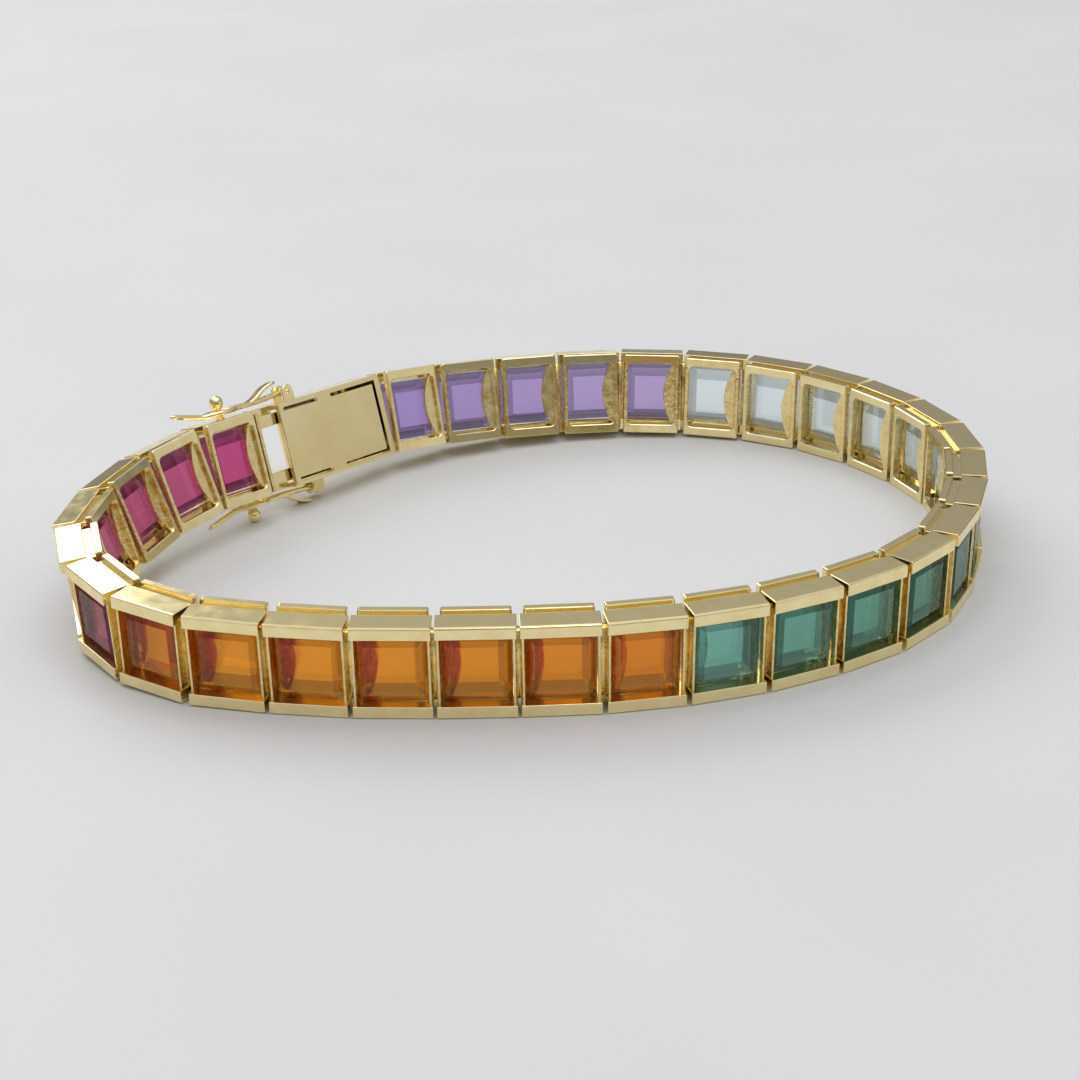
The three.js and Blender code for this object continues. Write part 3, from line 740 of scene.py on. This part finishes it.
# Stones
def stone_mesh(sizes):
    """A square step-cut stone round its own middle: table, crown, girdle, pavilion, flat back.

    Each face keeps a share of painted light, by which the stone's colour is painted darker as shade: all
    at the table and the back, less beside the table, little at the other sides and none at the girdle.
    """
    girdle_end = sizes.crown + sizes.girdle
    steps = (
        (0.0, sizes.table),
        (sizes.step_place * sizes.crown, sizes.crown_step),
        (sizes.crown, 1.0),
        (girdle_end, 1.0),
        (girdle_end + sizes.step_place * sizes.pavilion, sizes.pavilion_step),
        (girdle_end + sizes.pavilion, sizes.back),
    )
    bm = bmesh.new()
    loops = []
    for depth, share in steps:
        u = 0.5 * share * sizes.width
        h = 0.5 * share * sizes.height
        d = depth - sizes.crown
        loops.append([Vector((-u, d, -h)), Vector((u, d, -h)), Vector((u, d, h)), Vector((-u, d, h))])
    shell(bm, loops)
    mesh = mesh_from(bm, "stone")
    # Painted shade: how light each ring of side faces is painted; the table and the back stay fully
    # light.
    rows = (sizes.sloped, sizes.steep, 0.0, sizes.steep, sizes.steep)
    sides = [share for share in rows for _ in loops[0]]
    table_and_back = [1.0, 1.0]
    painted_light_share = mesh.attributes.new("painted_light_share", "FLOAT", "FACE")
    painted_light_share.data.foreach_set("value", sides + table_and_back)
    return mesh


class BRACELET_OT_stones(bpy.types.Operator):
    """Set the step-cut stones into the links, one piece for each colour"""

    bl_idname = "bracelet.stones"
    bl_label = "Stones"

    def execute(self, context):
        sizes = context.scene.bracelet_stones
        links = context.scene.bracelet_links
        part = bpy.data.objects.new("stone", stone_mesh(sizes))
        tree = setting_tree("Set stones", ("Gem",))
        centre = Matrix.Translation((0.0, sizes.table_inset + sizes.crown, 0.5 * links.height))
        frames = all_frames()
        place = 0
        for run, (total, _, first, last) in RUNS.items():
            places = []
            for count in range(total):
                share = count / (total - 1)
                tint = [a + (b - a) * share for a, b in zip(first, last)]
                places.append((frames[place + count] @ centre, tint))
            values = {"Seed": links.seed + place, "Unevenness": sizes.unevenness, "Gem": gem(run)}
            made = set_along("stones_" + run, tree, part, places, values)
            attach(made, BODY)
            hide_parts(*(f"stone_{run}_{count + 1}" for count in range(total)))
            place += total
        bpy.data.objects.remove(part)
        return {"FINISHED"}


# End link, clasp and catches, drawn in the end link's frame
def ball_on_stem(bm, catch, link):
    """A ball on a stem with a wider foot that is sunk into the link's edge."""
    centre = catch.stem_height + math.sqrt(catch.ball ** 2 - catch.stem ** 2)
    foot = 1.4 * catch.stem
    sunk, rim, neck = -0.3 * MM, 0.05 * MM, 0.2 * MM
    profile = [(foot, sunk), (foot, rim), (catch.stem, neck)]
    start = math.asin(catch.stem / catch.ball)
    end = 0.97 * math.pi
    steps = 11
    for step in range(steps + 1):
        turn = start + (end - start) * step / steps
        profile.append((catch.ball * math.sin(turn), centre - catch.ball * math.cos(turn)))
    place = Vector((catch.ball_place, catch.depth, link.height))
    turned(bm, place, Vector((0.0, 0.0, 1.0)), profile, 20)


def tongue_depth(link, clasp):
    """Outer side of the tongue, which lies along the box's inner wall."""
    return link.depth - clasp.wall - clasp.room - clasp.tongue_thickness


class BRACELET_OT_end_link(bpy.types.Operator):
    """Build the end link with its end plate, tongue and two balls"""

    bl_idname = "bracelet.end_link"
    bl_label = "End link"

    def execute(self, context):
        scene = context.scene
        link, clasp, catch = scene.bracelet_links, scene.bracelet_clasp, scene.bracelet_catches
        bm = bmesh.new()
        ball_on_stem(bm, catch, link)
        mirrored_in_height(bm, link.height, catch.lower_shift)
        link_mesh(bm, link, own_hinge=False)
        edge = link.soft_edge
        free_end = -0.5 * (link.pitch - link.rail_gap)
        plate_start = free_end - 2.0 * edge
        bar(bm, (plate_start, plate_start + clasp.end_plate), (link.wall_inset, link.depth - edge),
            (link.rail_edge, link.height - link.rail_edge), edge, finish=CAST)
        thick = clasp.tongue_thickness
        depth = (tongue_depth(link, clasp), tongue_depth(link, clasp) + thick)
        low = clasp.wall + clasp.room
        high = link.height - low
        inner = clasp.mouth - clasp.tongue_length
        plate_end = clasp.mouth - clasp.room
        bar(bm, (plate_end - edge, free_end + edge), depth, (low, low + clasp.prong_height), edge)
        bar(bm, (plate_end - edge, free_end + edge), depth, (high - clasp.prong_height, high), edge)
        bar(bm, (inner, plate_end), depth, (low, high), edge)
        spring = clasp.spring_depth
        bar(bm, (inner, inner + thick), (spring, depth[1]), (low, high), edge)
        bar(bm, (inner, inner + clasp.spring_length), (spring, spring + thick), (low, high), edge)
        pose = all_frames()[0]
        made = plain_object("end_link_dressed", mesh_from(bm, "end_link", pose), metals())
        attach(made, BODY)
        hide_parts("end_link")
        return {"FINISHED"}


def cup(bm, link, clasp):
    """The box: closed at one end, hollow, with a rough rim at its mouth."""
    edge = link.rail_edge
    soft = link.soft_edge
    wall = clasp.wall
    start, mouth = clasp.box_start, clasp.mouth
    loops = []
    for place, inset, radius in (
            (start, 0.6 * edge, edge), (start + 0.3 * edge, 0.2 * edge, edge), (start + edge, 0.0, edge),
            (mouth - soft, 0.0, edge), (mouth, soft, edge), (mouth, wall - soft, 0.5 * edge),
            (mouth - soft, wall, 0.5 * edge), (start + wall, wall, 0.5 * edge)):
        section = rounded_loop((inset, link.depth - inset), (inset, link.height - inset), (radius,) * 4)
        loops.append([Vector((place, a, b)) for a, b in section])
    for face in shell(bm, loops):
        if all(vert.co.x > mouth - 1.5 * soft for vert in face.verts):
            face.material_index = CAST


def prism(bm, outline, d):
    """A plate with square edges and an outline in u and h."""
    shell(bm, [[Vector((a, depth, b)) for a, b in outline] for depth in d])


def block(bm, u, d, h):
    prism(bm, ((u[0], h[0]), (u[1], h[0]), (u[1], h[1]), (u[0], h[1])), d)


def slot_cutters(link, clasp):
    """The slots round the inner plate, two near the mouth and one round the end, and the notch."""
    bm = bmesh.new()
    whole = clasp.mouth - clasp.box_start

    def span(shares):
        return clasp.mouth - shares[1] * whole, clasp.mouth - shares[0] * whole

    depth = (link.depth - clasp.slot_depth, link.depth + clasp.slot_depth)
    wide = clasp.slot_width
    low, high = clasp.slot_margin, link.height - clasp.slot_margin
    near = span(clasp.near_slots)
    for h in ((low, low + wide), (high - wide, high)):
        block(bm, near, depth, h)
    end, start = span(clasp.end_slot)
    prism(bm, ((end, low), (start, low), (start, low + wide), (end + wide, low + wide),
               (end + wide, high - wide), (start, high - wide), (start, high), (end, high)), depth)
    notch = (clasp.mouth - clasp.notch, clasp.mouth + clasp.wall)
    block(bm, notch, (-clasp.wall, 1.2 * clasp.wall), (clasp.wall, link.height - clasp.wall))
    return mesh_from(bm, "slots")


def ear_outline(catch, link):
    """Round over the hinge, with a foot that is sunk a little into the box."""
    top = link.height + catch.hinge_rise
    hinge = catch.ball_place - catch.reach
    foot = link.height - 2.0 * link.soft_edge
    points = [(hinge - catch.ear, foot), (hinge + catch.ear, foot)]
    steps = 12
    for step in range(steps + 1):
        turn = math.pi * step / steps
        points.append((hinge + catch.ear * math.cos(turn), top + catch.ear * math.sin(turn)))
    return points


class BRACELET_OT_clasp(bpy.types.Operator):
    """Build the clasp's box with its slotted plate, arms and ears"""

    bl_idname = "bracelet.clasp"
    bl_label = "Clasp"

    def execute(self, context):
        scene = context.scene
        link, clasp, catch = scene.bracelet_links, scene.bracelet_clasp, scene.bracelet_catches
        pose = all_frames()[0]
        bm = bmesh.new()
        cup(bm, link, clasp)
        box = plain_object("clasp_box_dressed", mesh_from(bm, "clasp_box"), metals())
        cutter = plain_object("slots", slot_cutters(link, clasp), [])
        cut = box.modifiers.new("Slots", "BOOLEAN")
        cut.object = cutter
        cut.operation = "DIFFERENCE"
        cut.solver = "EXACT"
        mesh = evaluated_mesh(box)
        box.modifiers.remove(cut)
        bpy.data.objects.remove(cutter)
        for polygon in mesh.polygons:
            if polygon.normal.y > 0.9 and polygon.center.y > link.depth - 0.5 * clasp.wall:
                polygon.material_index = SATIN
        bm = bmesh.new()
        edge = link.soft_edge
        inside = 0.5 * catch.barrel_length + catch.ear_clearance
        outside = inside + catch.ear_thickness
        for near, far in ((-outside, -inside), (inside, outside)):
            plate(bm, ear_outline(catch, link), (catch.depth + near, catch.depth + far), edge)
        mirrored_in_height(bm, link.height, catch.lower_shift)
        arm = (clasp.mouth - 2.0 * edge, clasp.arm_end)
        across = (clasp.arm_inset, tongue_depth(link, clasp) - clasp.room)
        for high in ((0.0, clasp.arm_height), (link.height - clasp.arm_height, link.height)):
            bar(bm, arm, across, high, edge)
        bmesh.ops.recalc_face_normals(bm, faces=bm.faces)
        bm.from_mesh(mesh)
        bm.transform(pose)
        bm.to_mesh(mesh)
        bm.free()
        box.data = mesh
        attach(box, BODY)
        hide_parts("clasp_box")
        return {"FINISHED"}


def catch_mesh(link, catch):
    """Barrel and pin, two wires round the ball's stem that end in a tail, and a raised leaf."""
    bm = bmesh.new()
    level = link.height + catch.wire_rise
    top = link.height + catch.hinge_rise
    hinge = catch.ball_place - catch.reach
    middle, wire, ball = catch.depth, catch.wire, catch.ball_place
    wide = catch.ball + wire + catch.clearance
    loop_end, loop_start = ball + catch.loop, ball - catch.loop
    turns = [2.0 * math.pi * k / 12 for k in range(12)]
    circle = [(wire * math.cos(turn), wire * math.sin(turn)) for turn in turns]
    for side in (-1.0, 1.0):
        places = (
            (hinge, 0.5 * wire, top),
            (0.5 * (hinge + loop_start), 1.3 * wire, level),
            (loop_start - wire, 2.4 * wire, level),
            (loop_start + 0.2 * catch.loop, 0.85 * wide, level),
            (ball, wide, level),
            (ball + 0.7 * catch.loop, 0.75 * wide, level),
            (loop_end + 2.0 * wire, wire, level),
            (loop_end + 0.4 * catch.tail, 0.3 * wire, level + 0.3 * catch.tail_rise),
            (loop_end + catch.tail, 0.2 * wire, level + catch.tail_rise),
        )
        path = smooth_path([(u, middle + side * spread, h) for u, spread, h in places], 7)
        rounded_tip = [0.9, 0.35]
        sweep(bm, path, circle, [1.0] * (len(path) - 2) + rounded_tip, smooth=True)
    across = Vector((0.0, 1.0, 0.0))
    soft = 0.06 * MM
    half = 0.5 * catch.barrel_length
    reach = half + catch.ear_clearance + catch.ear_thickness + soft
    for radius, end, out, sides in ((catch.barrel, 0.8, half, 20), (catch.pin, 0.5, reach, 14)):
        turned(bm, Vector((hinge, middle - out, top)), across,
               ((end * radius, 0.0), (radius, soft), (radius, 2.0 * out - soft),
                (end * radius, 2.0 * out)), sides)
    foot, run, rise = ball - catch.leaf_foot, catch.leaf_run, catch.leaf_rise
    bend = ((0.0, 0.0), (0.25, 0.22), (0.6, 0.72), (1.0, 1.0))
    path = smooth_path([(foot - along * run, middle, level + up * rise) for along, up in bend], 5)
    wide = 0.5 * catch.leaf_width
    thick = 0.5 * catch.leaf_thickness
    section = rounded_loop((-wide, wide), (-thick, thick), (0.7 * thick,) * 4, 3)
    foot_width, tip_width = 0.8, 0.85
    widths = [foot_width] + [1.0] * (len(path) - 2) + [tip_width]
    sweep(bm, path, section, widths, smooth=False)
    return bm


class BRACELET_OT_catches(bpy.types.Operator):
    """Build the two safety catches, each on its own hinge"""

    bl_idname = "bracelet.catches"
    bl_label = "Safety catches"

    def execute(self, context):
        link, catch = context.scene.bracelet_links, context.scene.bracelet_catches
        pose = all_frames()[0]
        mirror = Matrix.Scale(-1.0, 4, (0.0, 0.0, 1.0))
        flip = Matrix.Translation((catch.lower_shift, 0.0, link.height)) @ mirror
        for name, body, turn in (("top", "catch_top", Matrix()), ("bottom", "catch_bottom", flip)):
            bm = catch_mesh(link, catch)
            bm.transform(turn)
            mesh = mesh_from(bm, "catch_" + name, pose)
            made = plain_object("catch_" + name + "_dressed", mesh, metals())
            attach(made, body)
            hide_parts("safety_catch_" + name)
        return {"FINISHED"}


# Stage
def area_light(name, place, size, power, colour):
    """A soft light that shines at the middle of the bracelet."""
    data = bpy.data.lights.new(name, "AREA")
    data.shape = "RECTANGLE"
    data.size, data.size_y = size
    data.energy = power
    data.color = colour
    light = add_object(name, data)
    light.location = place
    light.rotation_mode = "QUATERNION"
    light.rotation_quaternion = (-Vector(place)).to_track_quat("-Z", "Y")


class BRACELET_OT_stage(bpy.types.Operator):
    """Lay the floor and set the lights and the camera"""

    bl_idname = "bracelet.stage"
    bl_label = "Stage"

    def execute(self, context):
        scene = context.scene
        stage = scene.bracelet_stage
        self.camera(scene, stage)
        self.floor(scene, stage)
        self.lights(scene)
        return {"FINISHED"}

    def camera(self, scene, stage):
        data = bpy.data.cameras.new("camera")
        data.sensor_width = 36.0
        data.lens = data.sensor_width * stage.focal_share
        data.clip_start = 0.005
        data.clip_end = 20.0
        camera = add_object("camera", data)
        forward = Vector((0.0, math.cos(stage.elevation), -math.sin(stage.elevation)))
        level = Vector((1.0, 0.0, 0.0))
        up = level.cross(forward)
        right = level * math.cos(stage.roll) + up * math.sin(stage.roll)
        turn = Matrix((right, right.cross(forward), -forward)).transposed()
        camera.matrix_world = Matrix.Translation(stage.camera_place) @ turn.to_4x4()
        scene.camera = camera

    def floor(self, scene, stage):
        bm = bmesh.new()
        bmesh.ops.create_grid(bm, x_segments=8, y_segments=8, size=0.5 * stage.floor_side)
        rest = frame["record"]["mounts"][0]["pos_m"][2]
        bmesh.ops.translate(bm, verts=bm.verts, vec=(0.0, 0.0, rest))
        mesh = bpy.data.meshes.new("floor")
        bm.to_mesh(mesh)
        bm.free()
        material, surface, nodes, links = shader("floor_cloth")
        colour = tuple(scene.bracelet_finishes.floor)
        darker = tuple(0.97 * value for value in colour)
        clouds = noise_of(nodes, links, scale=40.0, detail=1.0)
        mixed = ramp_of(nodes, links, clouds, ((0.35, darker), (0.65, colour)))
        links.new(mixed, surface.inputs["Base Color"])
        set_inputs(surface, {"Roughness": 0.55, "Specular IOR Level": 0.3})
        ground = plain_object("floor", mesh, [material])

    def lights(self, scene):
        world = bpy.data.worlds.new("studio")
        scene.world = world
        world.use_nodes = True
        nodes, links = world.node_tree.nodes, world.node_tree.links
        place = nodes.new("ShaderNodeTexCoord")
        split = nodes.new("ShaderNodeSeparateXYZ")
        links.new(place.outputs["Generated"], split.inputs["Vector"])
        brightness = {0.0: 0.28, 0.06: 0.34, 0.30: 0.42, 0.60: 0.80, 1.0: 1.45}
        blue = 1.02
        stops = [(height, (value, value, blue * value)) for height, value in brightness.items()]
        sky = ramp_of(nodes, links, split.outputs["Z"], stops)
        links.new(sky, nodes["Background"].inputs["Color"])
        set_inputs(nodes["Background"], {"Strength": 0.62})
        white, warm = (1.0, 1.0, 1.0), (1.0, 0.99, 0.97)
        area_light("side", place=(0.45, -0.06, 0.10), size=(0.5, 0.2), power=0.11, colour=white)
        area_light("window", place=(-0.35, 0.45, 0.45), size=(0.5, 0.4), power=1.6, colour=warm)
        area_light("ceiling", place=(0.05, -0.05, 0.60), size=(0.5, 0.5), power=1.0, colour=white)
        scene.view_settings.view_transform = "Standard"
        scene.view_settings.exposure = 0.0


class BRACELET_PT_panel(bpy.types.Panel):
    """Lists the steps that build the bracelet"""

    bl_idname = "BRACELET_PT_panel"
    bl_label = "Bracelet"
    bl_space_type = "VIEW_3D"
    bl_region_type = "UI"
    bl_category = "Bracelet"

    def draw(self, context):
        for step in STEPS:
            self.layout.operator(step.bl_idname)
        for group in GROUPS:
            sizes = getattr(context.scene, group)
            box = self.layout.box()
            for name in sizes.bl_rna.properties.keys():
                if name not in {"rna_type", "name"}:
                    box.prop(sizes, name)


GROUPS = {
    "bracelet_links": LinkSizes,
    "bracelet_stones": StoneSizes,
    "bracelet_clasp": ClaspSizes,
    "bracelet_catches": CatchSizes,
    "bracelet_finishes": FinishColours,
    "bracelet_stage": StageSizes,
}
STEPS = (BRACELET_OT_stage, BRACELET_OT_links, BRACELET_OT_stones, BRACELET_OT_end_link,
         BRACELET_OT_clasp, BRACELET_OT_catches)


def register():
    for group in GROUPS.values():
        bpy.utils.register_class(group)
    for name, group in GROUPS.items():
        setattr(bpy.types.Scene, name, PointerProperty(type=group))
    for step in STEPS:
        bpy.utils.register_class(step)
    bpy.utils.register_class(BRACELET_PT_panel)


def unregister():
    bpy.utils.unregister_class(BRACELET_PT_panel)
    for step in reversed(STEPS):
        bpy.utils.unregister_class(step)
    for name in GROUPS:
        delattr(bpy.types.Scene, name)
    for group in reversed(list(GROUPS.values())):
        bpy.utils.unregister_class(group)


def main():
    register()
    for step in STEPS:
        operator = step.bl_idname.split(".")[1]
        getattr(bpy.ops.bracelet, operator)()


if __name__ == "__main__":
    main()
